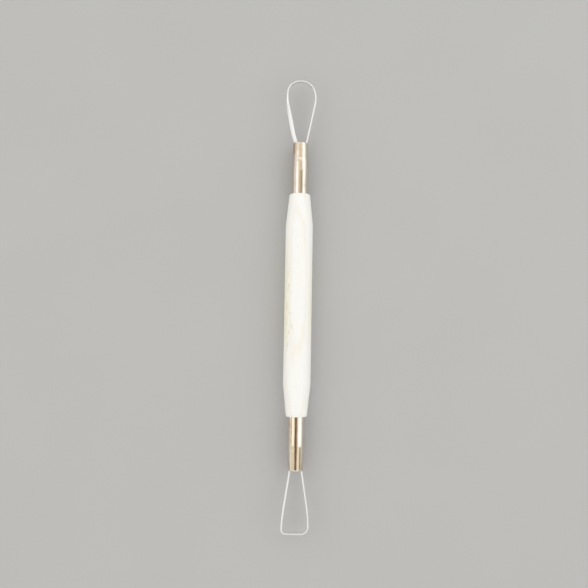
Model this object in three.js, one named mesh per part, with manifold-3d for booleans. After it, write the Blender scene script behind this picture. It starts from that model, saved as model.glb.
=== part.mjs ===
// Double-ended ribbon tool for clay: a turned wooden handle with a bent steel ribbon at each end.
// Millimetres, +Z up. The tool lies flat, its long axis along Y and the pear loop at +Y.
// The origin is under the middle of the tool, on the surface that the handle rests on.

import * as THREE from 'three';
import { mergeVertices, toCreasedNormals } from 'three/addons/utils/BufferGeometryUtils.js';
import Module from 'manifold-3d';

// Handle
const handleLength = 99.4;
const handleDiameter = 12.2;
const handleTaperLength = 14.2;
const shoulderLedge = 0.775;
const shoulderRound = 0.7;
const tenonChamfer = 0.4;

// Ferrules, the same at both ends
const ferruleLength = 23.35;
const ferruleDiameter = 7.7;
const ferruleMouthDiameter = 6.75;
const ferruleWall = 0.2;
const noseLength = 12.0;

// Ribbon, the same strip at both ends
const ribbonThickness = 0.7;
const ribbonWidth = 2.2;
const ribbonLand = 0.25;
const tangGrip = 5.0;
const mouthBendRadius = 1.5;

// Pear loop, measured over its outside
const pearReach = 29.4;
const pearWidth = 13.9;
const crownTightening = 0.3;
const shoulderEasing = 7.0;

// Square loop, measured over its outside
const squareReach = 27.7;
const squareWidth = 12.4;
const squareSideRadius = 55;
const squareCornerTight = 2.3;
const squareCornerWide = 3.4;

// Resin in the nose of each ferrule
const plugRecess = 0.8;

// Fits
const glueLine = 0.1;
const tangFit = 0.05;
const tenonSetback = 0.7;
const tangEndRoom = 0.3;

// Fineness of the facets
const roundSides = 48;
const arcStep = THREE.MathUtils.degToRad(7);
const roundingSteps = 5;
const creaseAngle = THREE.MathUtils.degToRad(30);

// Sizes that follow from those above
const overallLength = pearReach + ferruleLength + handleLength + ferruleLength + squareReach;
const pearMouth = overallLength / 2 - pearReach;
const squareMouth = squareReach - overallLength / 2;
const pearShoulder = pearMouth - ferruleLength;
const squareShoulder = squareMouth + ferruleLength;

const handleRadius = handleDiameter / 2;
const shoulderRadius = ferruleDiameter / 2 + shoulderLedge;
const boreRadius = ferruleDiameter / 2 - ferruleWall;
const mouthBoreRadius = ferruleMouthDiameter / 2 - ferruleWall;
const tenonRadius = boreRadius - glueLine;
const tenonDepth = noseLength + tenonSetback;

// A facet, not an edge, of every round piece lies straight below the axis, so the handle rests on a flat
const halfSide = Math.PI / roundSides;
const axisHeight = handleRadius * Math.cos(halfSide);

// The ribbon's outer face is narrower than its inner face by the bevels ground along both edges
const groundBevel = ribbonThickness - ribbonLand;
const outerFaceHalf = ribbonWidth / 2 - groundBevel;

// Middle of a tang, as far out as its ground outer face fits in a round bore
function tangSeat(radius) {
  const flat = radius * Math.cos(halfSide) - tangFit;
  return Math.sqrt(flat * flat - outerFaceHalf * outerFaceHalf) - ribbonThickness / 2;
}

const mouthTangX = tangSeat(mouthBoreRadius);
const boreTangX = tangSeat(boreRadius);
const tangEnd = -(noseLength + tangGrip);
const noseSlope = Math.atan2(boreTangX - mouthTangX, noseLength);

const wasm = await Module();
wasm.setup();

const wood = new THREE.MeshStandardMaterial({ color: 0xf1e8d2, roughness: 0.6, metalness: 0 });
const platedBrass = new THREE.MeshStandardMaterial({ color: 0xcdb998, roughness: 0.25, metalness: 1 });
const ribbonSteel = new THREE.MeshStandardMaterial({ color: 0xc9c7c1, roughness: 0.3, metalness: 1 });
const resin = new THREE.MeshStandardMaterial({ color: 0xb79a5e, roughness: 0.45, metalness: 0 });

// Points along an arc about (x, y), both ends included
function arcPoints(x, y, radius, from, to, steps = roundingSteps) {
  const points = [];
  for (let i = 0; i <= steps; i += 1) {
    const angle = THREE.MathUtils.lerp(from, to, i / steps);
    points.push(new THREE.Vector2(x + radius * Math.cos(angle), y + radius * Math.sin(angle)));
  }
  return points;
}

// A profile of (radius, height) points turned round the tool's axis
function turned(profile) {
  return new THREE.LatheGeometry(profile, roundSides, halfSide);
}

function toSolid(geometry) {
  const bare = new THREE.BufferGeometry();
  bare.setAttribute('position', geometry.getAttribute('position'));
  bare.setIndex(geometry.getIndex());
  const merged = mergeVertices(bare);
  const index = merged.getIndex().array;
  const triangles = [];
  for (let i = 0; i < index.length; i += 3) {
    const [a, b, c] = [index[i], index[i + 1], index[i + 2]];
    if (a !== b && b !== c && c !== a) {
      triangles.push(a, b, c);
    }
  }
  return new wasm.Manifold(new wasm.Mesh({
    numProp: 3,
    vertProperties: new Float32Array(merged.getAttribute('position').array),
    triVerts: new Uint32Array(triangles),
  }));
}

function fromSolid(solid) {
  const mesh = solid.getMesh();
  const geometry = new THREE.BufferGeometry();
  geometry.setAttribute('position', new THREE.BufferAttribute(mesh.vertProperties, 3));
  geometry.setIndex(new THREE.BufferAttribute(mesh.triVerts, 1));
  return toCreasedNormals(geometry, creaseAngle);
}

function piece(name, geometry, material) {
  const mesh = new THREE.Mesh(geometry, material.clone());
  mesh.name = name;
  return mesh;
}

// Everything at an end of the tool is drawn with the ferrule's mouth at height 0, the loop above it and
// the tenon below it.

// Room for both tangs: it follows them down the nose and beside the tenon, and is open to the bore outside
function tangChannels() {
  const inside = ribbonThickness / 2 + glueLine;
  const outline = new THREE.Shape();
  outline.moveTo(mouthTangX - inside, 0);
  outline.lineTo(boreTangX - inside, -noseLength);
  outline.lineTo(boreTangX - inside, tangEnd - tangEndRoom);
  outline.lineTo(ferruleDiameter / 2, tangEnd - tangEndRoom);
  outline.lineTo(ferruleDiameter / 2, 0);
  outline.closePath();
  const depth = ribbonWidth + 2 * glueLine;
  const right = new THREE.ExtrudeGeometry(outline, { depth, bevelEnabled: false });
  right.translate(0, 0, -depth / 2);
  const left = right.clone().rotateY(Math.PI);
  return [right, left];
}

// Half of the handle's profile, from the end of a tenon up to the barrel, with the shoulder at height 0
function handleEndProfile() {
  const taper = Math.atan2(handleRadius - shoulderRadius, handleTaperLength);
  const round = Math.min(shoulderRound, shoulderLedge);
  const roundCentre = shoulderRadius - round * (1 - Math.sin(taper)) / Math.cos(taper);
  const tenonEnd = tenonDepth - ferruleLength;
  return [
    new THREE.Vector2(0, tenonEnd),
    new THREE.Vector2(tenonRadius - tenonChamfer, tenonEnd),
    new THREE.Vector2(tenonRadius, tenonEnd + tenonChamfer),
    new THREE.Vector2(tenonRadius, 0),
    ...arcPoints(roundCentre, round, round, -Math.PI / 2, -taper),
    new THREE.Vector2(handleRadius, handleTaperLength),
  ];
}

function handle() {
  const lower = handleEndProfile().map((point) => new THREE.Vector2(point.x, squareShoulder + point.y));
  const upper = handleEndProfile().map((point) => new THREE.Vector2(point.x, pearShoulder - point.y));
  let wooden = toSolid(turned([...lower, ...upper.reverse()]));
  for (const channel of tangChannels()) {
    wooden = wooden.subtract(toSolid(channel.clone().translate(0, pearMouth, 0)));
    wooden = wooden.subtract(toSolid(channel.clone().rotateZ(Math.PI).translate(0, squareMouth, 0)));
  }
  return fromSolid(wooden);
}

// A tube with one wall all along: straight barrel, tapered nose, and a rim rounded over the wall
function ferrule() {
  const rim = ferruleWall / 2;
  const profile = [
    new THREE.Vector2(ferruleDiameter / 2, -ferruleLength),
    new THREE.Vector2(ferruleDiameter / 2, -noseLength),
    ...arcPoints(ferruleMouthDiameter / 2 - rim, -rim, rim, 0, Math.PI),
    new THREE.Vector2(boreRadius, -noseLength),
    new THREE.Vector2(boreRadius, -ferruleLength),
    new THREE.Vector2(ferruleDiameter / 2, -ferruleLength),
  ];
  return turned(profile);
}

// Resin from the end of the tenon to just inside the mouth, with the tangs' channels left in it
function plug() {
  const mouthSide = THREE.MathUtils.lerp(mouthBoreRadius, boreRadius, plugRecess / noseLength);
  const filled = turned([
    new THREE.Vector2(0, -tenonDepth),
    new THREE.Vector2(boreRadius - glueLine, -tenonDepth),
    new THREE.Vector2(boreRadius - glueLine, -noseLength),
    new THREE.Vector2(mouthSide - glueLine, -plugRecess),
    new THREE.Vector2(0, -plugRecess),
  ]);
  let solid = toSolid(filled);
  for (const channel of tangChannels()) {
    solid = solid.subtract(toSolid(channel));
  }
  return fromSolid(solid);
}

// A flat curve that is known at stations only: each one has a point and the direction of travel there
class StationCurve extends THREE.Curve {
  constructor(stations) {
    super();
    this.stations = stations;
  }

  get steps() {
    return this.stations.length - 1;
  }

  station(u) {
    return this.stations[Math.round(u * this.steps)];
  }

  getPointAt(u, target = new THREE.Vector3()) {
    const { x, y } = this.station(u);
    return target.set(x, y, 0);
  }

  getTangentAt(u, target = new THREE.Vector3()) {
    const { heading } = this.station(u);
    return target.set(Math.cos(heading), Math.sin(heading), 0);
  }
}

// Stations round an arc that is travelled to the left, or to the right when `to` is below `from`. Their
// number is odd, so one of them is at the arc's middle and a crown keeps its full reach.
function arcStations(arc, radius, from, to) {
  const steps = 2 * Math.ceil(Math.abs(to - from) / (2 * arcStep));
  const turn = to > from ? Math.PI / 2 : -Math.PI / 2;
  const stations = [];
  for (let i = 0; i <= steps; i += 1) {
    const angle = THREE.MathUtils.lerp(from, to, i / steps);
    stations.push({
      x: arc.x + radius * Math.cos(angle),
      y: arc.y + radius * Math.sin(angle),
      heading: angle + turn,
    });
  }
  return stations;
}

// The right-hand tang and leg, up to where the leg runs into the turn of the loop: `turn` is the centre of
// that turn and `radius` its radius along the middle of the ribbon. The leg is the line that touches both
// the bend at the mouth and the turn.
function rightLeg(turn, radius) {
  const bend = {
    x: mouthTangX + mouthBendRadius * Math.cos(noseSlope),
    y: mouthBendRadius * Math.sin(noseSlope),
  };
  const across = bend.x - turn.x;
  const up = turn.y - bend.y;
  const splay = Math.atan2(up, across) - Math.acos((radius + mouthBendRadius) / Math.hypot(across, up));
  const stations = [
    { x: boreTangX, y: tangEnd, heading: Math.PI / 2 },
    { x: boreTangX, y: -noseLength, heading: Math.PI / 2 + noseSlope / 2 },
    ...arcStations(bend, mouthBendRadius, Math.PI + noseSlope, Math.PI - splay),
  ];
  return { stations, splay };
}

// The same stations seen in a mirror and travelled the other way, which makes a left-hand leg or turn
function mirrored(stations) {
  return stations.map(({ x, y, heading }) => ({ x: -x, y, heading: -heading })).reverse();
}

// Strip section on edge: x runs across the loop's plane and y from the outer face to the inner face
function ribbonSection() {
  const half = ribbonWidth / 2;
  const face = ribbonThickness / 2;
  return new THREE.Shape([
    new THREE.Vector2(-outerFaceHalf, -face),
    new THREE.Vector2(outerFaceHalf, -face),
    new THREE.Vector2(half, face - ribbonLand),
    new THREE.Vector2(half, face),
    new THREE.Vector2(-half, face),
    new THREE.Vector2(-half, face - ribbonLand),
  ]);
}

function ribbon(stations) {
  const middle = new StationCurve(stations);
  return new THREE.ExtrudeGeometry(ribbonSection(), { steps: middle.steps, extrudePath: middle });
}

// A crown arc between two shoulder arcs of larger radius, which meet it without a kink
function pearRibbon() {
  const face = ribbonThickness / 2;
  const crownRadius = pearWidth / 2 - crownTightening;
  const shoulderAngle = Math.acos(1 - crownTightening / shoulderEasing);
  const crown = { x: 0, y: pearReach - crownRadius };
  const shoulder = {
    x: -shoulderEasing * Math.cos(shoulderAngle),
    y: crown.y - shoulderEasing * Math.sin(shoulderAngle),
  };
  const shoulderMiddle = crownRadius + shoulderEasing - face;
  const leg = rightLeg(shoulder, shoulderMiddle);
  const side = [
    ...leg.stations,
    ...arcStations(shoulder, shoulderMiddle, -leg.splay, shoulderAngle),
  ];
  const top = arcStations(crown, crownRadius - face, shoulderAngle, Math.PI - shoulderAngle);
  return ribbon([...side, ...top.slice(1, -1), ...mirrored(side)]);
}

// A straight end between two corners, one bent tighter than the other. Each side bows a little as it comes
// to its corner.
function squareRibbon() {
  const face = ribbonThickness / 2;
  const side = (cornerRadius) => {
    const corner = { x: squareWidth / 2 - cornerRadius, y: squareReach - cornerRadius };
    const bow = { x: squareWidth / 2 - squareSideRadius, y: corner.y };
    const leg = rightLeg(bow, squareSideRadius - face);
    return [
      ...leg.stations,
      ...arcStations(bow, squareSideRadius - face, -leg.splay, 0),
      ...arcStations(corner, cornerRadius - face, 0, Math.PI / 2).slice(1),
    ];
  };
  return ribbon([...side(squareCornerTight), ...mirrored(side(squareCornerWide))]);
}

function toolEnd(prefix, ribbonGeometry, mouth, turn) {
  const end = new THREE.Group();
  end.add(piece(`${prefix}_ferrule`, ferrule(), platedBrass));
  end.add(piece(`${prefix}_ribbon`, ribbonGeometry, ribbonSteel));
  end.add(piece(`${prefix}_plug`, plug(), resin));
  end.position.y = mouth;
  end.rotation.z = turn;
  return end;
}

const tool = new THREE.Group();
tool.name = 'double_ended_ribbon_tool';
tool.add(piece('handle', handle(), wood));
tool.add(toolEnd('pear', pearRibbon(), pearMouth, 0));
tool.add(toolEnd('square', squareRibbon(), squareMouth, Math.PI));
tool.position.z = axisHeight;

export default tool;
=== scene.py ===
from math import (
    acos, atan2, ceil, copysign, cos, degrees, hypot, pi, radians, sin, sqrt, tan)

import bmesh
import bpy
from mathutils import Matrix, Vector


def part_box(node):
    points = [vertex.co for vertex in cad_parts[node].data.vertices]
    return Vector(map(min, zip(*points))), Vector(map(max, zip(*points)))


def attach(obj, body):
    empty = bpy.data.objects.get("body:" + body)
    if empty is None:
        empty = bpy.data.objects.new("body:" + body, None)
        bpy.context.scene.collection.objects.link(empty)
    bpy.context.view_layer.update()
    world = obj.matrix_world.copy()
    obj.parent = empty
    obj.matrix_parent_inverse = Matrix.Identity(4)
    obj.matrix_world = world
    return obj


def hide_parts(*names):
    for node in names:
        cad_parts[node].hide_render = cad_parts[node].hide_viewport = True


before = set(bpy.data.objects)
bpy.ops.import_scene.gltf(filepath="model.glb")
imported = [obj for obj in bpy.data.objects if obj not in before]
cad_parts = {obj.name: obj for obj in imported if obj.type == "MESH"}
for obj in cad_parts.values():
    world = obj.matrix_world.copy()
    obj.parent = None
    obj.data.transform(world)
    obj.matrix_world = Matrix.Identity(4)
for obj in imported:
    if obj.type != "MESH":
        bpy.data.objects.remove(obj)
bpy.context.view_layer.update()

bl_info = {
    "name": "Double-ended ribbon tool",
    "version": (1, 0, 0),
    "blender": (4, 5, 0),
    "location": "View3D > Sidebar > Ribbon tool",
    "description": "A pale turned handle with a pear-shaped and a square-ended steel ribbon loop",
    "category": "Object",
}

MM = 0.001

# Places that the frame gives. The tool lies along Y, with the pear loop at its far end.
HANDLE_LOW, HANDLE_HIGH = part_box("handle")
PEAR_LOW, PEAR_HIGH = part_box("pear_ferrule")
SQUARE_LOW, SQUARE_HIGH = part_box("square_ferrule")
PEAR_LOOP_LOW, PEAR_LOOP_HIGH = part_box("pear_ribbon")
SQUARE_LOOP_LOW, SQUARE_LOOP_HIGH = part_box("square_ribbon")
AXIS_HEIGHT = (HANDLE_LOW.z + HANDLE_HIGH.z) / 2

# The frame's bores have this many flats, and its tangs lie this far inside them
CAD_FLATS = 48
TANG_FIT = 0.05 * MM

# How finely the pieces are made
ROUND_SIDES = 96
SMOOTH_ANGLE = radians(35)
BEND_STEP = radians(3)
GRIP_STEPS, NOSE_STEPS, LEG_STEPS, ACROSS_STEPS = 4, 12, 24, 8
ROUNDING_STEPS, TAPER_STEPS, BLEND_STEPS, BARREL_STEPS = 8, 8, 5, 12
TUBE_STEPS, TUBE_NOSE_STEPS, PLUG_STEPS = 40, 48, 12


def number(name, default, description, unit="NONE"):
    """A plain number that a user can change."""
    return bpy.props.FloatProperty(
        name=name, description=description, default=default, unit=unit)


def distance(name, default, description):
    """A length that a user can change, shown in the scene's units."""
    return bpy.props.FloatProperty(
        name=name, description=description, default=default, min=0.0, unit="LENGTH", precision=5)


def angle(name, default, description):
    """An angle that a user can change, shown in degrees."""
    return bpy.props.FloatProperty(
        name=name, description=description, default=radians(default), subtype="ANGLE")


def colour(name, default, description):
    """A colour that a user can change."""
    return bpy.props.FloatVectorProperty(
        name=name, description=description, default=default, size=3, min=0.0, max=1.0,
        subtype="COLOR")


class HandleSettings(bpy.types.PropertyGroup):
    radius: distance("Barrel radius", AXIS_HEIGHT, "Radius of the straight barrel")
    taper: distance("Taper length", 14.2 * MM, "Length of each taper")
    shoulder: distance("Shoulder radius", PEAR_HIGH.x + 0.775 * MM, "Radius at each taper's foot")
    rounding: distance("Shoulder rounding", 0.75 * MM, "Radius of the shoulder's sanded edge")
    tenon_depth: distance("Tenon setback", 12.7 * MM, "From a ferrule's mouth down to the tenon")
    tenon_radius: distance("Tenon radius", 3.55 * MM, "Radius of each tenon")
    pale: colour("Pale wood", (0.96, 0.955, 0.93), "Early wood, which covers most of the handle")
    late: colour("Late wood", (0.915, 0.855, 0.73), "Late wood in the rings, and coarse fibres")
    # Painted shade: the yellow tint painted on the handle's flanks, standing for how they look in
    # shade
    flank_shade_tint: colour("Straw wood", (0.94, 0.905, 0.65), "Wood yellowed by the hand")
    fleck: colour("Fleck", (0.62, 0.50, 0.27), "Short dark flecks and pores")


class FerruleSettings(bpy.types.PropertyGroup):
    radius: distance("Barrel radius", PEAR_HIGH.x, "Outside radius of the straight part")
    mouth_radius: distance("Mouth radius", 3.375 * MM, "Outside radius at the mouth")
    length: distance("Length", PEAR_HIGH.y - PEAR_LOW.y, "From the handle's shoulder to the mouth")
    nose: distance("Nose length", 12.0 * MM, "Length of the nose, as the tangs follow it")
    pear_nose: distance("Pear nose", 13.2 * MM, "Length of the nose at the pear loop")
    square_nose: distance("Square nose", 10.5 * MM, "Length of the nose at the square loop")
    curl: distance("Mouth curl", 0.3 * MM, "Length over which the rim curls in")
    wall: distance("Wall", 0.2 * MM, "Thickness of the drawn tube")
    plate: colour("Plate", (0.76, 0.702, 0.618), "Warm nickel plate")
    bare: colour("Bare brass", (0.60, 0.40, 0.228), "Brass where the plate has worn thin")
    # Painted reflection: the colour of the reddish reflection painted on the pear ferrule's left
    # flank near its mouth
    painted_reflection: colour("Copper blush", (0.62, 0.385, 0.30), "Reddish tarnish near the pear loop")
    pit: colour("Pits", (0.30, 0.24, 0.17), "Pits and specks where the plate has broken")


class RibbonSettings(bpy.types.PropertyGroup):
    thickness: distance("Thickness", 0.7 * MM, "Thickness of the strip")
    width: distance("Width", PEAR_LOOP_HIGH.z - PEAR_LOOP_LOW.z, "Width of the strip")
    land: distance("Land", 0.25 * MM, "What grinding leaves of the strip's edge")
    burr: distance("Edge softening", 0.09 * MM, "How far the sharp edges are stoned back")
    grip: distance("Tang grip", 5.0 * MM, "Length of each tang beside the tenon")
    mouth_bend: distance("Bend at the mouth", 1.5 * MM, "Radius of each leg's bend at the mouth")
    pear_twist: angle("Pear leg twist", 43.0, "Roll of the pear loop's left leg in the mouth")
    pear_lift: distance("Pear leg lift", 0.75 * MM, "How far that leg stands up in the mouth")
    pear_roll: angle("Pear leg roll", 52.0, "Roll of that leg where it is rolled most")
    pear_bow: distance("Pear leg bow", 0.25 * MM, "How far that leg is bowed outwards")
    pear_push: distance("Pear shoulder push", 0.3 * MM, "How far its left shoulder is pushed out")
    square_twist: angle("Square leg twist", 4.0, "Roll of the square loop's left leg in the mouth")
    square_lift: distance("Square leg lift", 0.15 * MM, "How far that leg stands up in the mouth")
    square_roll: angle("Square leg roll", 8.0, "Roll of that leg where it is rolled most")
    pear_easing: distance("Pear shoulder easing", 7.0 * MM, "Radius added at the shoulders")
    pear_tightening: distance("Pear crown tightening", 0.3 * MM, "Radius taken off at the crown")
    square_side: distance("Square side radius", 55 * MM, "Radius that the two sides bow to")
    square_tight: distance("Square tight corner", 2.3 * MM, "Outside radius of the tighter corner")
    square_wide: distance("Square wide corner", 3.4 * MM, "Outside radius of the wider corner")
    steel: colour("Steel", (0.92, 0.915, 0.905), "Rolled strip steel")
    ground: colour("Ground steel", (0.95, 0.95, 0.945), "Freshly ground edges")


class ResinSettings(bpy.types.PropertyGroup):
    recess: distance("Recess", 0.8 * MM, "From the mouth down to the resin")
    clearance: distance("Clearance", 0.02 * MM, "Gap between the resin and the tube")
    amber: colour("Amber", (0.50, 0.34, 0.15), "Colour of the set resin")


class StageSettings(bpy.types.PropertyGroup):
    lens: number("Lens", 47.755, "Focal length of the camera", unit="CAMERA")
    camera_place: bpy.props.FloatVectorProperty(
        name="Camera place", description="Where the camera stands", size=3,
        default=(-0.00143, -0.02364, 0.3538), subtype="TRANSLATION")
    camera_tilt: angle("Camera tilt", 4.514, "How far it looks along the tool from straight down")
    camera_roll: angle("Camera roll", 0.957, "How far it is turned about its line of sight")
    box_distance: distance("Softbox distance", 0.65, "From the tool to the middle of each softbox")
    box_strength: number("Softbox brightness", 0.3, "What a softbox adds to the room behind it")
    ceiling: colour("Ceiling", (0.95, 0.955, 0.965), "Colour of the plain ceiling")
    left_wall: colour("Left wall", (0.88, 0.88, 0.875), "Colour of the walls on the window side")
    right_wall: colour("Right wall", (0.72, 0.72, 0.715), "Colour of the walls across from it")
    room_strength: number("Room brightness", 1.1, "At 1 its colours show as written")
    floor: colour("Floor", (0.51, 0.51, 0.505), "Plain pale floor")


# Working on a mesh by hand


def alone(piece):
    """Makes a piece the only selected object."""
    if bpy.context.mode != "OBJECT":
        bpy.ops.object.mode_set(mode="OBJECT")
    bpy.ops.object.select_all(action="DESELECT")
    piece.select_set(True)
    bpy.context.view_layer.objects.active = piece


def open_mesh(piece):
    """Opens a piece in edit mode with nothing selected."""
    alone(piece)
    bpy.ops.object.mode_set(mode="EDIT")
    bpy.ops.mesh.select_all(action="DESELECT")


def close_mesh():
    """Leaves edit mode."""
    bpy.ops.object.mode_set(mode="OBJECT")


def settle(piece):
    """Moves a piece's place, turn and scale into its mesh."""
    alone(piece)
    bpy.ops.object.transform_apply(location=True, rotation=True, scale=True)


def pick(kind, passes):
    """Selects, in the open mesh, the vertices, edges or faces that pass a test."""
    bpy.ops.mesh.select_mode(type=kind)
    bpy.ops.mesh.select_all(action="DESELECT")
    data = bpy.context.edit_object.data
    mesh = bmesh.from_edit_mesh(data)
    for item in {"VERT": mesh.verts, "EDGE": mesh.edges, "FACE": mesh.faces}[kind]:
        item.select_set(passes(item))
    mesh.select_flush_mode()
    bmesh.update_edit_mesh(data)


def added(name, add, **settings):
    """Adds an object with nothing else selected, and names it and its data."""
    bpy.ops.object.select_all(action="DESELECT")
    add(**settings)
    piece = bpy.context.object
    piece.name = name
    piece.data.name = name
    return piece


def lathe(name, profile, filled=True):
    """Turns a piece from a disc, or a ring where it is open, along (y, radius) points."""
    y, radius = profile[0]
    piece = added(
        name, bpy.ops.mesh.primitive_circle_add, vertices=ROUND_SIDES, radius=radius,
        fill_type="NGON" if filled else "NOTHING", location=(0, y, 0), rotation=(pi / 2, 0, 0))
    settle(piece)
    open_mesh(piece)
    bpy.ops.mesh.select_mode(type="FACE" if filled else "EDGE")
    bpy.ops.mesh.select_all(action="SELECT")
    for (y_from, radius_from), (y, radius) in zip(profile[:-1], profile[1:]):
        bpy.ops.mesh.extrude_region_move(TRANSFORM_OT_translate={"value": (0, y - y_from, 0)})
        scale = radius / radius_from
        bpy.ops.transform.resize(value=(scale, 1, scale), center_override=(0, y, 0))
    outward()
    return piece


def between(start, end, steps):
    """Points of a profile from start to end, both included, in even steps."""
    return [tuple(a + (b - a) * i / steps for a, b in zip(start, end)) for i in range(steps + 1)]


def outward():
    """Turns all the faces of the open mesh outwards and leaves it."""
    bpy.ops.mesh.select_all(action="SELECT")
    bpy.ops.mesh.normals_make_consistent(inside=False)
    close_mesh()


def apply_modifier(piece, kind, **settings):
    """Adds a modifier, sets it and applies it."""
    alone(piece)
    modifier = piece.modifiers.new(kind.lower(), kind)
    for name, value in settings.items():
        setattr(modifier, name, value)
    bpy.ops.object.modifier_apply(modifier=modifier.name)


def cut_out(piece, cutters):
    """Cuts other solids out of a piece."""
    for cutter in cutters:
        apply_modifier(piece, "BOOLEAN", operation="DIFFERENCE", solver="EXACT", object=cutter)


def send_to_end(piece, end):
    """Moves a piece, modelled with the ferrule's mouth at the origin, to its end of the tool."""
    piece.rotation_euler = (0, 0, end.turn)
    piece.location = (0, end.mouth, AXIS_HEIGHT)
    settle(piece)


def hand_over(piece, node, finish=None):
    """Smooths a finished piece, gives it its finish and lets it stand for its CAD node."""
    alone(piece)
    bpy.ops.object.shade_smooth_by_angle(angle=SMOOTH_ANGLE)
    if finish:
        piece.data.materials.append(finish)
    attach(piece, "root")
    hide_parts(node)


# Materials

# Colours that only vary a finish
DULL_STEEL = (0.66, 0.63, 0.58)
STEEL_SPOT = (0.40, 0.33, 0.26)
DULL_GROUND = (0.80, 0.78, 0.74)
BUBBLE = (0.75, 0.62, 0.40)


class Wire:
    """A number that varies from point to point. Sums written with it add Math nodes."""

    def __init__(self, recipe, socket):
        self.recipe = recipe
        self.socket = socket

    def maths(self, operation, first, second=0.0):
        return self.recipe.node("ShaderNodeMath", {0: first, 1: second}, operation=operation)

    def __add__(self, other):
        return self.maths("ADD", self, other)

    def __sub__(self, other):
        return self.maths("SUBTRACT", self, other)

    def __rsub__(self, other):
        return self.maths("SUBTRACT", other, self)

    def __mul__(self, other):
        return self.maths("MULTIPLY", self, other)

    def __pow__(self, other):
        return self.maths("POWER", self, other)

    __radd__ = __add__
    __rmul__ = __mul__

    def size(self):
        return self.maths("ABSOLUTE", self)

    def wave(self):
        return self.maths("SINE", self)

    def root(self):
        return self.maths("SQRT", self)

    def rise(self, low, high):
        """0 below low, 1 above high and a smooth rise between. It falls where low is above high."""
        return self.recipe.node(
            "ShaderNodeMapRange", {"Value": self, "From Min": low, "From Max": high},
            interpolation_type="SMOOTHSTEP")


class Recipe:
    """A tree of shader nodes that is written as sums."""

    def __init__(self, tree):
        self.tree = tree
        self.tree.nodes.clear()

    def node(self, kind, sockets=(), output=0, stops=None, **settings):
        """Adds a node: its settings first, then the values or links of its sockets."""
        made = self.tree.nodes.new(kind)
        for name, value in settings.items():
            setattr(made, name, value)
        if stops:
            ramp = made.color_ramp.elements
            while len(ramp) < len(stops):
                ramp.new(1.0)
            for element, (position, shade) in zip(ramp, stops):
                element.position = position
                element.color = (*shade, 1.0)
        for key, value in dict(sockets).items():
            self.feed(made.inputs[key], value)
        return Wire(self, made.outputs[output])

    def feed(self, socket, value):
        """Links a wire to a socket, or sets the socket's own value."""
        if isinstance(value, Wire):
            self.tree.links.new(value.socket, socket)
        elif hasattr(value, "__len__") and len(value) == 3 and socket.type == "RGBA":
            socket.default_value = (*value, 1.0)
        else:
            socket.default_value = value

    def parts(self, vector):
        """The x, y and z of a vector."""
        split = self.tree.nodes.new("ShaderNodeSeparateXYZ")
        self.feed(split.inputs[0], vector)
        return [Wire(self, split.outputs[i]) for i in range(3)]

    def mix(self, factor, first, second):
        """One colour over another."""
        return self.node(
            "ShaderNodeMix", {0: factor, 6: first, 7: second}, output=2, data_type="RGBA")


class Finish(Recipe):
    """A material on object coordinates in millimetres."""

    def __init__(self, name):
        self.material = bpy.data.materials.new(name)
        self.material.use_nodes = True
        super().__init__(self.material.node_tree)
        self.surface = self.tree.nodes.new("ShaderNodeBsdfPrincipled")
        output = self.tree.nodes.new("ShaderNodeOutputMaterial")
        self.tree.links.new(self.surface.outputs[0], output.inputs["Surface"])
        self.place = self.stretched(self.node("ShaderNodeTexCoord", output="Object"), (1 / MM,) * 3)

    def set(self, **values):
        """Feeds the surface's sockets, named with underlines for spaces."""
        for name, value in values.items():
            self.feed(self.surface.inputs[name.replace("_", " ")], value)

    def stretched(self, vector, scale, offset=(0, 0, 0)):
        """The same coordinates, scaled and moved."""
        return self.node(
            "ShaderNodeMapping", {"Vector": vector, "Scale": scale, "Location": offset})

    def axes(self):
        """x, y and z in millimetres."""
        return self.parts(self.place)

    def noise(self, scale, detail=2.0, roughness=0.5, offset=(0, 0, 0)):
        """Cloudy noise between 0 and 1, with so many cells to the millimetre along each axis."""
        return self.node(
            "ShaderNodeTexNoise",
            {"Vector": self.stretched(self.place, scale, offset), "Scale": 1.0, "Detail": detail,
             "Roughness": roughness})

    def bump(self, height, depth, under=None):
        """Relief of a height between 0 and 1 that stands so many millimetres deep."""
        sockets = {"Height": height, "Distance": depth * MM}
        if under is not None:
            sockets["Normal"] = under
        return self.node("ShaderNodeBump", sockets, output="Normal")


def around(finish, middle, reach):
    """A soft spot, 1 at its middle and 0 past its reach, both as x, y and z in millimetres."""
    squares = [((axis - at) * (1 / size)) ** 2.0
               for axis, at, size in zip(finish.axes(), middle, reach)]
    return (squares[0] + squares[1] + squares[2]).rise(1.0, 0.1)


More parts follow.
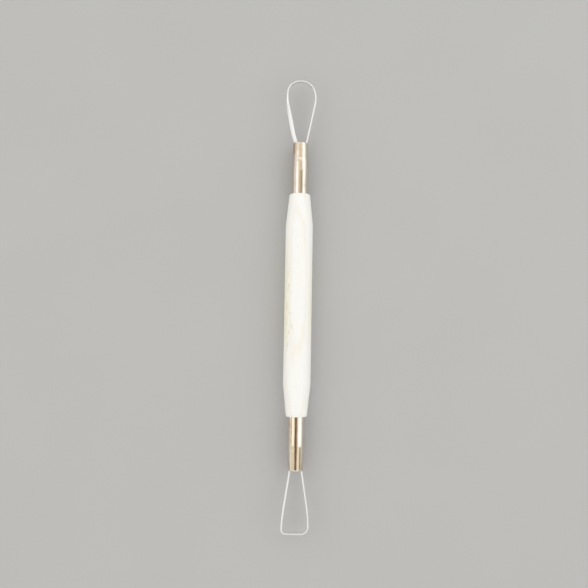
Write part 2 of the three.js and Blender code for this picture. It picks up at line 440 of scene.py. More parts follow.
def pale_wood(settings):
    """Pale close-grained wood, flat-sawn so that the rings show as fine lines on the flanks, with
    painted yellow shade on the flanks.
    """
    finish = Finish("pale_wood")
    x, y, z = finish.axes()
    pith_x, pith_z, ring_width = 5.0, -70.0, 1.35
    drift = finish.noise((0.10, 0.012, 0.10))
    ring = ((x - pith_x) ** 2.0 + (z - pith_z) ** 2.0).root() + drift * 5.0
    late = ((ring * (2 * pi / ring_width)).wave() * 0.5 + 0.5) ** 3.0
    fibre = finish.noise((4.5, 0.10, 4.5), detail=3.0, roughness=0.6)
    ray = finish.noise((9.0, 0.7, 9.0), detail=1.0, offset=(3, 1, 7))
    tone = finish.noise((0.16, 0.035, 0.16), offset=(11, 4, 2))
    # Painted shade: the flanks are tinted yellow as they look in shade, most along the middle of
    # the barrel and towards its top, and broken up by the grain
    flank = x.rise(-3.0, -4.3) + x.rise(3.9, 5.2) * 0.75
    shaded_flanks = flank * (y - 3.0).size().rise(33.0, 6.0) * (z.rise(1.0, 8.0) * 0.6 + 0.4)
    grain = late * 0.42 + (fibre - 0.5) * 1.1 + tone.rise(0.42, 0.72) * 0.12
    painted_flank_shade = shaded_flanks * (tone * 0.5 + late * 0.25 + (fibre - 0.5) * 0.9 + 0.27)
    fleck = finish.noise((1.7, 0.30, 1.7), detail=1.0, offset=(5, 8, 1)).rise(0.635, 0.70)
    flecked = around(finish, (-4.4, -5.0, 10.2), (2.6, 24.0, 3.4)) * 0.62 + 0.05
    wood = finish.mix(grain.rise(0.0, 1.0), settings.pale, settings.late)
    wood = finish.mix(painted_flank_shade.rise(0.0, 1.0), wood, settings.flank_shade_tint)
    wood = finish.mix(fleck * flecked + ray.rise(0.66, 0.80) * 0.12, wood, settings.fleck)
    relief = finish.bump(fibre * 0.6 + late * 0.25 - fleck * 0.4, 0.012)
    finish.set(
        Base_Color=wood, Roughness=fibre * 0.16 + late * 0.05 + 0.42, Normal=relief,
        Specular_IOR_Level=0.4, Coat_Weight=0.10, Coat_Roughness=0.28,
        Subsurface_Weight=0.06, Subsurface_Radius=(1.0, 0.7, 0.4), Subsurface_Scale=0.4 * MM)
    return finish.material


def drawn_plate(name, settings, brown, seed, painted_reflection, specked):
    """Nickel plate over brass, drawn along the tube, with wear, streaks, dark specks and a painted
    reddish reflection.

    brown is how much bare brass shows. painted_reflection is the side of a reddish painted
    reflection, the place along the tool where it starts and the length of its edge. specked are
    lines of dark specks, each as its middle and its reach.
    """
    finish = Finish(name)
    x, y, z = finish.axes()
    streak = finish.noise((5.5, 0.09, 5.5), detail=3.0, roughness=0.6, offset=(seed, 0, seed))
    fine = finish.noise((16.0, 0.22, 16.0), offset=(seed, 3, 1))
    cloud = finish.noise((0.55, 0.20, 0.55), detail=3.0, offset=(2, seed, 5))
    worn = (cloud * 0.6 + streak * 0.4).rise(0.50, 0.72)
    metal = finish.mix(worn * brown, settings.plate, settings.bare)
    # Painted reflection: a reddish area on one flank near the mouth, standing for a reddish
    # reflection there
    if painted_reflection:
        side, end, length = painted_reflection
        ragged = y + (cloud - 0.5) * 6.0 + (streak - 0.5) * 3.0
        patch = (x * side).rise(1.4, 2.4) * (ragged.rise(end, end + length) * 0.8 + 0.2)
        metal = finish.mix(patch * (cloud * 0.4 + 0.5), metal, settings.painted_reflection)
    pits = finish.noise((2.6, 1.6, 2.6), roughness=0.7, offset=(seed, 7, 2)).rise(0.68, 0.78)
    metal = finish.mix(pits * 0.45, metal, settings.pit)
    speck = finish.noise((7.5, 2.6, 7.5), detail=1.0, offset=(1, seed, 4)).rise(0.48, 0.60)
    for middle, reach in specked:
        metal = finish.mix(speck * around(finish, middle, reach) * 0.65, metal, settings.pit)
    relief = finish.bump(streak * 0.7 + fine * 0.3, 0.006)
    relief = finish.bump(cloud, 0.05, relief)
    finish.set(
        Base_Color=metal, Metallic=1.0, Roughness=streak * 0.05 + worn * 0.08 + pits * 0.2 + 0.07,
        Normal=relief)
    return finish.material


def strip_steel(settings):
    """Rolled strip steel, drawn fine along its length."""
    finish = Finish("strip_steel")
    grain = finish.noise((7.0, 1.2, 7.0), detail=3.0, roughness=0.65)
    cloud = finish.noise((0.5, 0.3, 0.5), offset=(4, 1, 6))
    dull = (cloud * 0.7 + grain * 0.3).rise(0.45, 0.75)
    steel = finish.mix(dull * 0.25, settings.steel, DULL_STEEL)
    spots = finish.noise((3.5, 3.5, 3.5), offset=(1, 9, 3)).rise(0.72, 0.80)
    steel = finish.mix(spots * 0.4, steel, STEEL_SPOT)
    finish.set(
        Base_Color=steel, Metallic=1.0, Roughness=grain * 0.12 + dull * 0.08 + 0.26,
        Normal=finish.bump(grain, 0.004))
    return finish.material


def ground_steel(settings):
    """The strip's edges where they were ground and left bright."""
    finish = Finish("ground_steel")
    scratch = finish.noise((14.0, 14.0, 0.6), roughness=0.6)
    cloud = finish.noise((0.6, 0.6, 0.6), detail=1.0, offset=(2, 2, 2))
    steel = finish.mix(cloud.rise(0.5, 0.8) * 0.25, settings.ground, DULL_GROUND)
    finish.set(
        Base_Color=steel, Metallic=1.0, Roughness=scratch * 0.16 + 0.42,
        Normal=finish.bump(scratch, 0.003))
    return finish.material


def set_resin(settings):
    """Dull amber resin with a few trapped bubbles."""
    finish = Finish("set_resin")
    cloud = finish.noise((0.8, 0.8, 0.8), detail=3.0)
    cells = finish.node("ShaderNodeTexVoronoi", {"Vector": finish.place, "Scale": 1.6})
    bubble = cells.rise(0.16, 0.10)
    amber = finish.mix(cloud.rise(0.35, 0.7), settings.amber, [c * 0.62 for c in settings.amber])
    amber = finish.mix(bubble * 0.5, amber, BUBBLE)
    finish.set(
        Base_Color=amber, Roughness=cloud * 0.2 + 0.30, Normal=finish.bump(1 - bubble * 0.8, 0.05),
        Coat_Weight=0.25, Coat_Roughness=0.15)
    return finish.material


def floor_paint(colour):
    """Plain pale floor with the faintest mottle."""
    finish = Finish("floor_paint")
    mottle = finish.noise((0.02, 0.02, 0.02), detail=3.0)
    paint = finish.mix(mottle.rise(0.3, 0.7), colour, [c * 0.985 for c in colour])
    finish.set(Base_Color=paint, Roughness=0.9, Specular_IOR_Level=0.1)
    return finish.material


# What hangs over the tool for its metal to mirror: windows, lamps and cards
LAMP = (1.15, 1.18, 1.21)
WINDOW = (0.95, 0.995, 1.02)
IVORY = (1.04, 1.035, 0.97)
CREAM = (0.99, 0.91, 0.75)
PALE = (0.80, 0.80, 0.77)
SAND = (0.83, 0.735, 0.585)
TAN = (0.58, 0.49, 0.365)
DIM = (0.42, 0.366, 0.275)
BROWN = (0.165, 0.089, 0.040)

# They hang in slices across the room. A slice starts at so many degrees from straight up
# towards +Y, and holds its lights by how many degrees they lean towards +X. Each ferrule's
# barrel and nose mirror slices of their own.
SLICES = (
    (-15.5, ((-75, SAND), (-25, SAND), (-18, DIM), (-9, BROWN), (4, BROWN), (14, DIM),
             (24, CREAM), (45, CREAM), (51, DIM), (75, DIM))),
    (-9.3, ((-75, TAN), (-66, TAN), (-62, SAND), (-50, CREAM), (-26, CREAM), (-19, DIM),
            (-8, BROWN), (3, BROWN), (14, TAN), (25, WINDOW), (75, LAMP))),
    (-2.5, ((-75, LAMP), (-60, LAMP), (-55, WINDOW), (-26, WINDOW), (-18, TAN), (18, TAN),
            (28, WINDOW), (75, LAMP))),
    (8.0, ((-75, PALE), (-60, PALE), (-52, WINDOW), (-27, WINDOW), (-20, SAND), (6, TAN),
           (16, DIM), (31, DIM), (39, WINDOW), (75, WINDOW))),
    (15.6, ((-75, PALE), (-68, WINDOW), (-36, WINDOW), (-24, CREAM), (-12, SAND), (16, SAND),
            (26, CREAM), (37, WINDOW), (75, WINDOW))),
    (17.6, ((-75, TAN), (-62, SAND), (-46, CREAM), (-34, CREAM), (-26, SAND), (12, SAND),
            (24, WINDOW), (75, WINDOW))),
    (21.5, ((-75, IVORY), (75, IVORY))),
)
# Half the width of the edge between two slices, where the last one ends and half of its edge
SLICE_EDGE = 0.3
SLICES_END, LAST_EDGE = 28.0, 1.0

# Where the left and right walls meet, and where they end below the ceiling, both as sines
WALLS_MEET = (-0.6, 0.6)
WALLS_END = (0.30, 0.38)


def room(stage):
    """The bright room round the tool: plain walls, a ceiling and what hangs there."""
    world = bpy.data.worlds.new("room")
    world.use_nodes = True
    recipe = Recipe(world.node_tree)
    x, y, z = recipe.parts(recipe.node("ShaderNodeTexCoord", output="Generated"))
    lean = x.maths("ARCTAN2", x, z) * degrees(1)
    along = y.maths("ARCSINE", y) * degrees(1)
    light = stage.ceiling
    for start, lights in SLICES:
        across = recipe.node(
            "ShaderNodeValToRGB", {"Fac": lean * (1 / 180) + 0.5},
            stops=[(at / 180 + 0.5, shade) for at, shade in lights])
        light = recipe.mix(along.rise(start - SLICE_EDGE, start + SLICE_EDGE), light, across)
    past_slices = along.rise(SLICES_END - LAST_EDGE, SLICES_END + LAST_EDGE)
    light = recipe.mix(past_slices, light, stage.ceiling)
    walls = recipe.mix(x.rise(*WALLS_MEET), stage.left_wall, stage.right_wall)
    light = recipe.mix(z.rise(*WALLS_END), walls, light)
    output = recipe.tree.nodes.new("ShaderNodeOutputWorld")
    recipe.feed(output.inputs["Surface"], recipe.node(
        "ShaderNodeBackground", {"Color": light, "Strength": stage.room_strength}))
    return world


# Ribbons

# Rolls of a side at shares of the way up it. The pear loop's left side has parts of its roll.
UNROLLED = ((0, 0), (1, 0))
PEAR_ROLL = ((0.1, 0.94), (0.4, 1.0), (0.6, 0.88), (0.82, 0.42))

# A strip's face is a ground one where its normal points up or down by more than this, and
# its edges are stoned where they are sharper than this
GROUND_TILT = 0.45
SHARP_ANGLE = radians(30)

# How much of a leg is taken hold of in the mouth, and how far up it gives when it is lifted
LEG_HOLD, LEG_GIVE = 0.4 * MM, 10 * MM


class Bender:
    """Feeds and bends a strip from its selected end, and knows where that is and heads."""

    def __init__(self, x, y, heading):
        self.x = x
        self.y = y
        self.heading = heading

    def feed(self, length, steps, rolls=None):
        """Pushes the strip straight on, rolled as rolls says at each share of the length."""
        step = Vector((cos(self.heading), sin(self.heading), 0)) * (length / steps)
        for i in range(steps):
            bpy.ops.mesh.extrude_region_move(TRANSFORM_OT_translate={"value": step})
            self.x += step.x
            self.y += step.y
            self.roll(rolls, i, steps)

    def bend(self, radius, turn, rolls=None):
        """Bends the strip round a pin, to the left where the turn is positive."""
        steps = max(2, ceil(abs(turn) / BEND_STEP))
        side = copysign(radius, turn)
        pin = (self.x - side * sin(self.heading), self.y + side * cos(self.heading), 0)
        for i in range(steps):
            bpy.ops.mesh.spin(steps=1, angle=-turn / steps, center=pin, axis=(0, 0, 1))
            self.heading += turn / steps
            self.x = pin[0] + side * sin(self.heading)
            self.y = pin[1] - side * cos(self.heading)
            self.roll(rolls, i, steps)

    def roll(self, rolls, i, steps):
        """Rolls the end about its own middle. A positive turn lifts what faces +X."""
        if rolls:
            turn = rolls((i + 1) / steps) - rolls(i / steps)
            bpy.ops.transform.rotate(
                value=turn, orient_axis="Y", center_override=(self.x, self.y, 0))


class Tang:
    """Where the tangs lie in the bore of a ferrule, in the middle of their thickness."""

    def __init__(self, ferrule, ribbon):
        self.ferrule = ferrule
        self.ribbon = ribbon
        self.ground = ribbon.thickness - ribbon.land
        self.mouth = self.inside(ferrule.mouth_radius)
        self.bore = self.inside(ferrule.radius)
        self.nose = hypot(ferrule.nose, self.bore - self.mouth)
        self.slope = atan2(self.bore - self.mouth, ferrule.nose)
        self.end = -(ferrule.nose + ribbon.grip)

    def inside(self, radius):
        """How far from the axis a tang lies where the tube's outside has this radius."""
        flat = (radius - self.ferrule.wall) * cos(pi / CAD_FLATS) - TANG_FIT
        ground_face = self.ribbon.width / 2 - self.ground
        return sqrt(flat * flat - ground_face * ground_face) - self.ribbon.thickness / 2

    def seat(self, turn, lift):
        """How far in a rolled leg has to move in the mouth, so that its corners clear the rim."""
        bore = self.ferrule.mouth_radius - self.ferrule.wall - 2 * TANG_FIT
        half, face = self.ribbon.width / 2, self.ribbon.thickness / 2
        corners = [(face, side * (half - self.ground)) for side in (-1, 1)]
        corners += [(face - self.ground, side * half) for side in (-1, 1)]
        room = []
        for out, up in corners:
            height = lift + out * sin(turn) + up * cos(turn)
            clear = sqrt(bore * bore - height * height)
            room.append(clear - out * cos(turn) + up * sin(turn))
        return self.mouth - min(room)

    def leg(self, pin, radius):
        """Splay and length of the leg between the bend at the mouth and a turn round a pin."""
        bend = self.ribbon.mouth_bend
        across = self.mouth + bend * cos(self.slope) - pin[0]
        up = pin[1] - bend * sin(self.slope)
        reach = hypot(across, up)
        splay = atan2(up, across) - acos((radius + bend) / reach)
        return splay, sqrt(reach * reach - (radius + bend) ** 2)


def start_strip(name, tang):
    """The strip's section at the end of the right-hand tang, with both outer edges ground off."""
    ribbon = tang.ribbon
    strip = added(
        name, bpy.ops.mesh.primitive_plane_add, size=1, location=(tang.bore, tang.end, 0),
        rotation=(pi / 2, 0, 0))
    strip.scale = (ribbon.thickness, ribbon.width, 1)
    settle(strip)
    open_mesh(strip)
    pick("VERT", lambda corner: corner.co.x > tang.bore)
    bpy.ops.mesh.bevel(offset=tang.ground, offset_type="OFFSET", segments=1, affect="VERTICES")
    bpy.ops.mesh.select_mode(type="FACE")
    bpy.ops.mesh.select_all(action="SELECT")
    return strip


def leg_roll(stations, leg, arc):
    """How far a side is rolled along its straight leg and along the first arc that follows it.

    stations are a few (share of the way up both, roll) points, from the ferrule's mouth on.
    """
    def roll(share):
        for (start, first), (end, last) in zip(stations[:-1], stations[1:]):
            if share <= end:
                return first + (last - first) * (share - start) / (end - start)
        return stations[-1][1]

    whole = leg + arc
    return lambda share: roll(share * leg / whole), lambda share: roll((leg + share * arc) / whole)


def bend_loop(name, tang, right, left, across, rolled):
    """Bends a whole loop, from the end of the right-hand tang to the end of the left-hand one.

    right and left are each a pin and the (radius, turn) bends of that side, of which the first
    also takes up the splay of its leg. across is the straight length between them. rolled is
    the (right, left) rolls, each as a few stations from the mouth on.
    """
    ribbon = tang.ribbon
    strip = start_strip(name, tang)
    bender = Bender(tang.bore, tang.end, pi / 2)
    radius, turn = right[1][0]
    splay, length = tang.leg(right[0], radius)
    on_leg, on_arc = leg_roll(rolled[0], length, radius * (turn + splay))
    bender.feed(ribbon.grip, GRIP_STEPS)
    bender.heading += tang.slope
    bender.feed(tang.nose, NOSE_STEPS, lambda share: on_leg(0) * share)
    bender.bend(ribbon.mouth_bend, -(tang.slope + splay))
    bender.feed(length, LEG_STEPS, on_leg)
    bender.bend(radius, turn + splay, on_arc)
    for radius, turn in right[1][1:]:
        bender.bend(radius, turn)
    if across:
        bender.feed(across, ACROSS_STEPS)
    for radius, turn in reversed(left[1][1:]):
        bender.bend(radius, turn)
    radius, turn = left[1][0]
    splay, length = tang.leg(left[0], radius)
    on_leg, on_arc = leg_roll(rolled[1], length, radius * (turn + splay))
    bender.bend(radius, turn + splay, lambda share: -on_arc(1 - share))
    bender.feed(length, LEG_STEPS, lambda share: -on_leg(1 - share))
    bender.bend(ribbon.mouth_bend, -(tang.slope + splay))
    bender.feed(tang.nose, NOSE_STEPS, lambda share: -on_leg(0) * (1 - share))
    bender.heading += tang.slope
    bender.feed(ribbon.grip, GRIP_STEPS)
    outward()
    return strip


def nudge(strip, passes, move, reach):
    """Moves the corners that pass a test, and draws the strip beside them along."""
    open_mesh(strip)
    pick("VERT", passes)
    bpy.ops.transform.translate(
        value=move, use_proportional_edit=True, use_proportional_connected=True,
        proportional_edit_falloff="SMOOTH", proportional_size=reach)
    close_mesh()


def lift_leg(strip, side, tang, turn, lift):
    """Lifts a rolled leg in its ferrule's mouth and moves it inwards, clear of the rim."""
    nudge(strip, lambda corner: corner.co.x * side > 0 and abs(corner.co.y) < LEG_HOLD,
          (-side * tang.seat(turn, lift), 0, lift), LEG_GIVE)


def finish_strip(strip, end):
    """Stones the sharp edges, marks the ground ones and puts the ribbon in its ferrule."""
    ribbon = end.tang.ribbon
    for finish in (strip_steel(ribbon), ground_steel(ribbon)):
        strip.data.materials.append(finish)
    open_mesh(strip)
    pick("FACE", lambda face: abs(face.normal.z) > GROUND_TILT)
    strip.active_material_index = 1
    bpy.ops.object.material_slot_assign()
    close_mesh()
    apply_modifier(
        strip, "BEVEL", width=ribbon.burr, segments=3, limit_method="ANGLE",
        angle_limit=SHARP_ANGLE)
    send_to_end(strip, end)


# Pieces

# Dents: the lean from the top in degrees, and the distance from the mouth, depth and reach in mm
PEAR_DENTS = ((-44, 10.0, 0.05, 0.6), (-7, 8.4, 0.018, 0.9), (9, 6.9, 0.018, 0.9))
SQUARE_DENTS = ((24, 9.4, 0.03, 1.6),)
# Where the pear loop's ferrule is crimped, from and to how far from its mouth, and how deep
PEAR_CRIMP = (6.6 * MM, 8.4 * MM, 0.085 * MM)
# How the rim of a mouth curls in, as shares of the curl's length and of its depth
CURL = ((1.0, 0.0), (0.6, 0.12), (0.3, 0.42), (0.0, 1.0))
CURL_DEPTH = 0.09 * MM
RIM_ROUNDING = 0.42
# How the plate of each ferrule has worn and where its lines of dark specks lie, with the painted
# reddish reflection on the pear loop's ferrule, as drawn_plate has it, in mm
PEAR_WEAR = {
    "brown": 0.35, "seed": 3.0, "painted_reflection": (-1.0, 65.5, 2.5),
    "specked": (((2.45, 54.0, 9.0), (0.7, 6.0, 2.5)),)}
SQUARE_WEAR = {
    "brown": 0.8, "seed": 9.0, "painted_reflection": None,
    "specked": (((-2.1, -57.0, 9.2), (0.5, 9.0, 2.5)), ((1.95, -68.5, 9.0), (0.55, 7.0, 2.5)))}
# How far the resin climbs the tube and in from it, its slope there, down and inwards in mm, and
# how deep and wide its middle is dished
CLIMB, CLIMB_FOOT = 0.35 * MM, 1.10 * MM
MENISCUS = ((0.16, 0.07), (0.27, 0.22), (0.33, 0.50))
DISH, DISH_RADIUS = 0.03 * MM, 0.6 * MM


def half_profile(handle, tenon_length):
    """Half of the handle as (distance from the shoulder, radius) points, the tenon first."""
    chamfer, blend = 0.4 * MM, 0.9 * MM
    ledge = handle.shoulder
    taper = atan2(handle.radius - ledge, handle.taper)
    middle = ledge - handle.rounding * (1 - sin(taper)) / cos(taper)
    points = [
        (-tenon_length, handle.tenon_radius - chamfer),
        (-tenon_length + chamfer, handle.tenon_radius),
        (0, handle.tenon_radius),
    ]
    for i in range(ROUNDING_STEPS + 1):
        a = (pi / 2 - taper) * i / ROUNDING_STEPS
        points.append((
            handle.rounding * (1 - cos(a)), middle + handle.rounding * sin(a)))
    start = (handle.taper - blend, handle.radius - blend * tan(taper))
    points += between(points[-1], start, TAPER_STEPS)[1:]
    for i in range(1, BLEND_STEPS + 1):
        t = i / BLEND_STEPS
        points.append((
            start[0] + 2 * blend * t,
            start[1] + (handle.radius - start[1]) * (2 * t - t * t)))
    return points


class End:
    """One end of the tool: its ferrule's mouth, its turn about Z and how its tangs lie."""

    def __init__(self, mouth, turn, scene):
        self.mouth = mouth
        self.turn = turn
        self.tang = Tang(scene.ribbon_tool_ferrule, scene.ribbon_tool_ribbon)


def pear_end(scene):
    return End(PEAR_HIGH.y, 0.0, scene)


def square_end(scene):
    return End(SQUARE_LOW.y, pi, scene)


def channel(end, side):
    """A block as wide as the room that the tenon leaves for one tang."""
    room, past = 0.1 * MM, 1 * MM
    tang, ribbon = end.tang, end.tang.ribbon
    inside = tang.bore - ribbon.thickness / 2 - room
    outside = tang.ferrule.radius + past
    bottom = tang.end - 3 * room
    top = -tang.ferrule.nose
    block = added(
        "channel_block", bpy.ops.mesh.primitive_cube_add, size=1,
        location=(side * (inside + outside) / 2, (bottom + top) / 2, 0))
    block.scale = (outside - inside, top - bottom, ribbon.width + 2 * room)
    send_to_end(block, end)
    return block


def turn_handle(scene):
    """Turns the handle and its tenons from one disc, and cuts the tangs' channels."""
    handle = scene.ribbon_tool_handle
    ends = pear_end(scene), square_end(scene)
    pear_shoulder, square_shoulder = PEAR_LOW.y, SQUARE_HIGH.y
    lower = half_profile(handle, square_shoulder - SQUARE_LOW.y - handle.tenon_depth)
    upper = half_profile(handle, PEAR_HIGH.y - pear_shoulder - handle.tenon_depth)
    profile = [(square_shoulder + u, radius) for u, radius in lower]
    barrel_end = (pear_shoulder - upper[-1][0], handle.radius)
    profile += between(profile[-1], barrel_end, BARREL_STEPS)[1:-1]
    profile += [(pear_shoulder - u, radius) for u, radius in reversed(upper)]
    turned = lathe("turned_handle", profile)
    turned.location.z = AXIS_HEIGHT
    settle(turned)
    blocks = [channel(end, side) for end in ends for side in (-1, 1)]
    cut_out(turned, blocks)
    for block in blocks:
        bpy.data.objects.remove(block)
    return turned


def necking(away, nose, near, far, step):
    """How far a crimped nose stands proud of a plain one, at a place so far away from the mouth."""
    if away < near:
        return -step / 2 * away / near
    if away > far:
        return step / 2 * (nose - away) / (nose - far)
    share = (away - near) / (far - near)
    return step * (3 * share ** 2 - 2 * share ** 3 - 0.5)


def draw_tube(name, ferrule, nose, crimp):
    """Draws one ferrule as an open tube, in rings close enough together to take a dent.

    crimp is None or where the nose necks in, from and to how far from the mouth, and how far
    it steps in there.
    """
    soft = 0.5 * MM
    slope = (ferrule.radius - ferrule.mouth_radius) / nose
    kink = [(-nose - soft, ferrule.radius), (-nose, ferrule.radius - slope * soft * 0.25),
            (-nose + soft, ferrule.radius - slope * soft)]
    barrel = between((-ferrule.length, ferrule.radius), kink[0], TUBE_STEPS)
    curl = [(-ferrule.curl * share,
             ferrule.mouth_radius + slope * ferrule.curl * share - CURL_DEPTH * dip)
            for share, dip in CURL]
    taper = between(kink[-1], curl[0], TUBE_NOSE_STEPS)
    if crimp:
        taper = [(y, radius + necking(-y, nose, *crimp)) for y, radius in taper]
    taper += curl[1:]
    return lathe(name, barrel + kink[1:-1] + taper, filled=False)


def dent(tube, lean, place, depth, reach):
    """Presses a dent into a tube, at a lean from its top in degrees and so far from its mouth."""
    lean, wall = radians(lean), 4 * MM
    middle = Vector((wall * sin(lean), -place, wall * cos(lean)))
    open_mesh(tube)
    data = tube.data
    mesh = bmesh.from_edit_mesh(data)
    spot = min(mesh.verts, key=lambda corner: (corner.co - middle).length)
    inward = -Vector((spot.co.x, 0, spot.co.z)).normalized() * depth
    bpy.ops.mesh.select_mode(type="VERT")
    spot.select_set(True)
    bmesh.update_edit_mesh(data)
    bpy.ops.transform.translate(
        value=inward, use_proportional_edit=True, proportional_edit_falloff="SMOOTH",
        proportional_size=reach)
    close_mesh()


def give_wall(tube, ferrule):
    """Thickens a tube inwards and rounds the rim of its mouth."""
    apply_modifier(tube, "SOLIDIFY", thickness=ferrule.wall, offset=-1, use_even_offset=True)
    open_mesh(tube)
    flat, step = 0.02 * MM, 0.05 * MM
    pick("EDGE", lambda edge: all(abs(corner.co.y) < flat for corner in edge.verts)
         and abs(edge.verts[0].co.xz.length - edge.verts[1].co.xz.length) < step)
    bpy.ops.mesh.bevel(offset=ferrule.wall * RIM_ROUNDING, segments=3, affect="EDGES")
    close_mesh()


def pour_plug(name, end, scene, nose, ribbon):
    """Fills a ferrule's nose with resin, which climbs its wall a little and beds the tangs."""
    ferrule, resin = scene.ribbon_tool_ferrule, scene.ribbon_tool_resin

    def wall(y):
        taper = min(1.0, -y / nose)
        return (ferrule.mouth_radius + (ferrule.radius - ferrule.mouth_radius) * taper
                - ferrule.wall - resin.clearance)

    bottom = -scene.ribbon_tool_handle.tenon_depth + resin.clearance
    rim = -resin.recess + CLIMB
    edge = wall(rim)
    profile = between((bottom, wall(bottom)), (rim, edge), PLUG_STEPS)
    profile += [(rim - down * MM, edge - inward * MM) for down, inward in MENISCUS]
    profile += [(-resin.recess, edge - CLIMB_FOOT), (-resin.recess - DISH, DISH_RADIUS)]
    plug = lathe(name, profile)
    send_to_end(plug, end)
    cut_out(plug, [ribbon])
    return plug


def finished(name):
    """A piece that an earlier step made."""
    piece = bpy.data.objects.get(name)
    if piece is None:
        raise RuntimeError(f"{name} has to be made first")
    return piece


# Operators

FLOOR_SIDE = 60.0
SENSOR_WIDTH = 36.0
CLIP_START = 0.01
# Each softbox: its name, two leans from straight up in degrees and its reach along the tool
SOFTBOXES = (
    ("left_softbox", (-56.0, -27.0), (-0.16, 0.275)),
    ("right_softbox", (30.0, 80.0), (-0.16, 0.9)),
)


class RIBBONTOOL_OT_stage(bpy.types.Operator):
    """Sets the plain floor, the camera, two long softboxes and the bright room round them"""

    bl_idname = "ribbon_tool.stage"
    bl_label = "Set the stage"

    def execute(self, context):
        stage = context.scene.ribbon_tool_stage
        floor = added(
            "floor", bpy.ops.mesh.primitive_plane_add, size=FLOOR_SIDE, location=(0, 0, 0))
        floor.data.materials.append(floor_paint(stage.floor))
        context.scene.world = room(stage)
        for name, leans, reach in SOFTBOXES:
            self.softbox(stage, name, leans, reach)
        camera = added(
            "camera", bpy.ops.object.camera_add, location=stage.camera_place,
            rotation=(stage.camera_tilt, 0, stage.camera_roll))
        camera.data.lens = stage.lens
        camera.data.sensor_width = SENSOR_WIDTH
        camera.data.clip_start = CLIP_START
        context.scene.camera = camera
        context.scene.view_settings.view_transform = "Standard"
        return {"FINISHED"}

    @staticmethod
    def softbox(stage, name, leans, reach):
        """A box between two leans from straight up, in degrees, and two places along the tool."""
        lean = radians(sum(leans) / 2)
        half = radians(leans[1] - leans[0]) / 2
        away = stage.box_distance
        lamp = added(
            name, bpy.ops.object.light_add, type="AREA", rotation=(0, lean, 0),
            location=(away * sin(lean), sum(reach) / 2, away * cos(lean)))
        lamp.visible_camera = False
        box = lamp.data
        box.shape = "RECTANGLE"
        box.size = 2 * away * tan(half)
        box.size_y = reach[1] - reach[0]
        box.energy = stage.box_strength * pi * box.size * box.size_y


class RIBBONTOOL_OT_pear_ribbon(bpy.types.Operator):
    """Bends the pear-shaped ribbon: a crown between easier shoulders, its left leg rolled"""

    bl_idname = "ribbon_tool.pear_ribbon"
    bl_label = "Bend the pear loop"

    def execute(self, context):
        end = pear_end(context.scene)
        ribbon = end.tang.ribbon
        face = ribbon.thickness / 2
        easing = ribbon.pear_easing
        reach = PEAR_LOOP_HIGH.y - end.mouth
        crown = PEAR_LOOP_HIGH.x - ribbon.pear_tightening
        turn = acos(1 - ribbon.pear_tightening / easing)
        pin = (-easing * cos(turn), reach - crown - easing * sin(turn))
        side = (pin, [(crown + easing - face, turn), (crown - face, pi / 2 - turn)])
        rolls = [(share, ribbon.pear_roll * part) for share, part in PEAR_ROLL]
        rolled = [(0.0, ribbon.pear_twist), *rolls, (1.0, 0.0)]
        strip = bend_loop("pear_loop_ribbon", end.tang, side, side, 0, (UNROLLED, rolled))
        lift_leg(strip, -1, end.tang, ribbon.pear_twist, ribbon.pear_lift)
        bow, hold, give = 4.5 * MM, 0.8 * MM, 6 * MM
        nudge(strip, lambda corner: corner.co.x < 0 and abs(corner.co.y - bow) < hold,
              (-ribbon.pear_bow, 0, 0), give)
        out = Vector((-sqrt(0.5), sqrt(0.5), 0))
        shoulder = Vector((0, reach - crown, 0)) + out * (crown - face)
        hold, give = 1.3 * MM, 4.2 * MM
        nudge(strip, lambda corner: (corner.co - shoulder).length < hold,
              out * ribbon.pear_push, give)
        finish_strip(strip, end)
        hand_over(strip, "pear_ribbon")
        return {"FINISHED"}


class RIBBONTOOL_OT_square_ribbon(bpy.types.Operator):
    """Bends the square-ended ribbon: bowed sides, a tight and a wider corner and a straight end"""

    bl_idname = "ribbon_tool.square_ribbon"
    bl_label = "Bend the square loop"

    def execute(self, context):
        end = square_end(context.scene)
        ribbon = end.tang.ribbon
        face = ribbon.thickness / 2
        reach = end.mouth - SQUARE_LOOP_LOW.y
        half = (SQUARE_LOOP_HIGH.x - SQUARE_LOOP_LOW.x) / 2

        def side(corner):
            """The pin and the bends of the side that ends in a corner of this radius."""
            pin = (half - ribbon.square_side, reach - corner)
            return pin, [(ribbon.square_side - face, 0.0), (corner - face, pi / 2)]

        across = 2 * half - ribbon.square_tight - ribbon.square_wide
        rolled = [(0.0, ribbon.square_twist), (0.3, ribbon.square_roll),
                  (0.8, ribbon.square_roll), (1.0, 0.0)]
        strip = bend_loop(
            "square_loop_ribbon", end.tang, side(ribbon.square_tight), side(ribbon.square_wide),
            across, (rolled, UNROLLED))
        lift_leg(strip, 1, end.tang, ribbon.square_twist, ribbon.square_lift)
        finish_strip(strip, end)
        hand_over(strip, "square_ribbon")
        return {"FINISHED"}


class RIBBONTOOL_OT_handle(bpy.types.Operator):
    """Turns the pale handle with its tapers, sanded shoulders and tenons"""

    bl_idname = "ribbon_tool.handle"
    bl_label = "Turn the handle"

    def execute(self, context):
        scene = context.scene
        hand_over(turn_handle(scene), "handle", pale_wood(scene.ribbon_tool_handle))
        return {"FINISHED"}


class RIBBONTOOL_OT_ferrules(bpy.types.Operator):
    """Draws both plated ferrules, with their dents and the crimp in the pear loop's"""

    bl_idname = "ribbon_tool.ferrules"
    bl_label = "Draw the ferrules"

    def execute(self, context):
        scene = context.scene
        ferrule = scene.ribbon_tool_ferrule
        for side, end, nose, crimp, dents, wear in (
                ("pear", pear_end(scene), ferrule.pear_nose, PEAR_CRIMP, PEAR_DENTS, PEAR_WEAR),
                ("square", square_end(scene), ferrule.square_nose, None, SQUARE_DENTS,
                 SQUARE_WEAR)):
            tube = draw_tube(f"{side}_drawn_ferrule", ferrule, nose, crimp)
            for lean, place, depth, reach in dents:
                dent(tube, lean, place * MM, depth * MM, reach * MM)
            give_wall(tube, ferrule)
            send_to_end(tube, end)
            plate = drawn_plate(f"{side}_plate", ferrule, **wear)
            hand_over(tube, f"{side}_ferrule", plate)
        return {"FINISHED"}


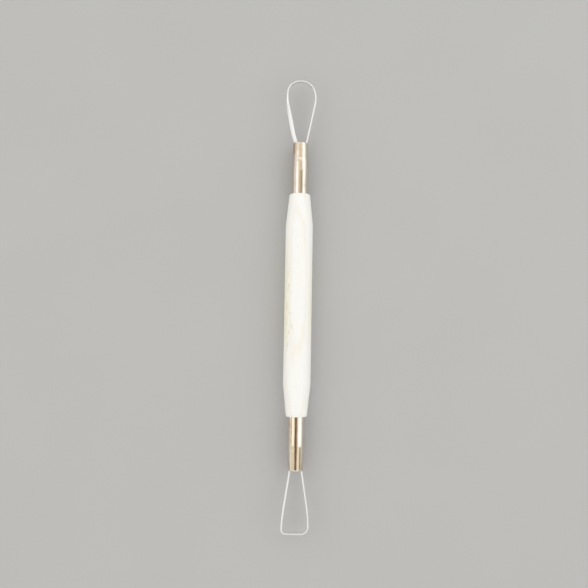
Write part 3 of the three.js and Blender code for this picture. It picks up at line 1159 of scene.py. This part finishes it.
class RIBBONTOOL_OT_plugs(bpy.types.Operator):
    """Pours the resin that beds the tangs in both ferrules"""

    bl_idname = "ribbon_tool.plugs"
    bl_label = "Pour the resin"

    def execute(self, context):
        scene = context.scene
        ferrule = scene.ribbon_tool_ferrule
        resin = set_resin(scene.ribbon_tool_resin)
        for side, end, nose in (
                ("pear", pear_end(scene), ferrule.pear_nose),
                ("square", square_end(scene), ferrule.square_nose)):
            ribbon = finished(f"{side}_loop_ribbon")
            plug = pour_plug(f"{side}_resin_plug", end, scene, nose, ribbon)
            hand_over(plug, f"{side}_plug", resin)
        return {"FINISHED"}


class RIBBONTOOL_PT_sidebar(bpy.types.Panel):
    """Makes the double-ended ribbon tool, piece by piece"""

    bl_idname = "RIBBONTOOL_PT_sidebar"
    bl_label = "Double-ended ribbon tool"
    bl_space_type = "VIEW_3D"
    bl_region_type = "UI"
    bl_category = "Ribbon tool"

    def draw(self, context):
        layout = self.layout
        for operator in OPERATORS:
            layout.operator(operator.bl_idname)
        for name, label, _ in SETTINGS:
            group = getattr(context.scene, name)
            box = layout.box()
            box.label(text=label)
            for key in group.bl_rna.properties.keys():
                if key not in ("name", "rna_type"):
                    box.prop(group, key)


OPERATORS = (
    RIBBONTOOL_OT_stage,
    RIBBONTOOL_OT_pear_ribbon,
    RIBBONTOOL_OT_square_ribbon,
    RIBBONTOOL_OT_handle,
    RIBBONTOOL_OT_ferrules,
    RIBBONTOOL_OT_plugs,
)
SETTINGS = (
    ("ribbon_tool_handle", "Handle", HandleSettings),
    ("ribbon_tool_ferrule", "Ferrules", FerruleSettings),
    ("ribbon_tool_ribbon", "Ribbons", RibbonSettings),
    ("ribbon_tool_resin", "Resin", ResinSettings),
    ("ribbon_tool_stage", "Stage", StageSettings),
)


def register():
    for name, _, group in SETTINGS:
        bpy.utils.register_class(group)
        setattr(bpy.types.Scene, name, bpy.props.PointerProperty(type=group))
    for operator in OPERATORS:
        bpy.utils.register_class(operator)
    bpy.utils.register_class(RIBBONTOOL_PT_sidebar)


def unregister():
    bpy.utils.unregister_class(RIBBONTOOL_PT_sidebar)
    for operator in reversed(OPERATORS):
        bpy.utils.unregister_class(operator)
    for name, _, group in reversed(SETTINGS):
        delattr(bpy.types.Scene, name)
        bpy.utils.unregister_class(group)


def main():
    register()
    bpy.ops.ribbon_tool.stage()
    bpy.ops.ribbon_tool.pear_ribbon()
    bpy.ops.ribbon_tool.square_ribbon()
    bpy.ops.ribbon_tool.handle()
    bpy.ops.ribbon_tool.ferrules()
    bpy.ops.ribbon_tool.plugs()


if __name__ == "__main__":
    main()
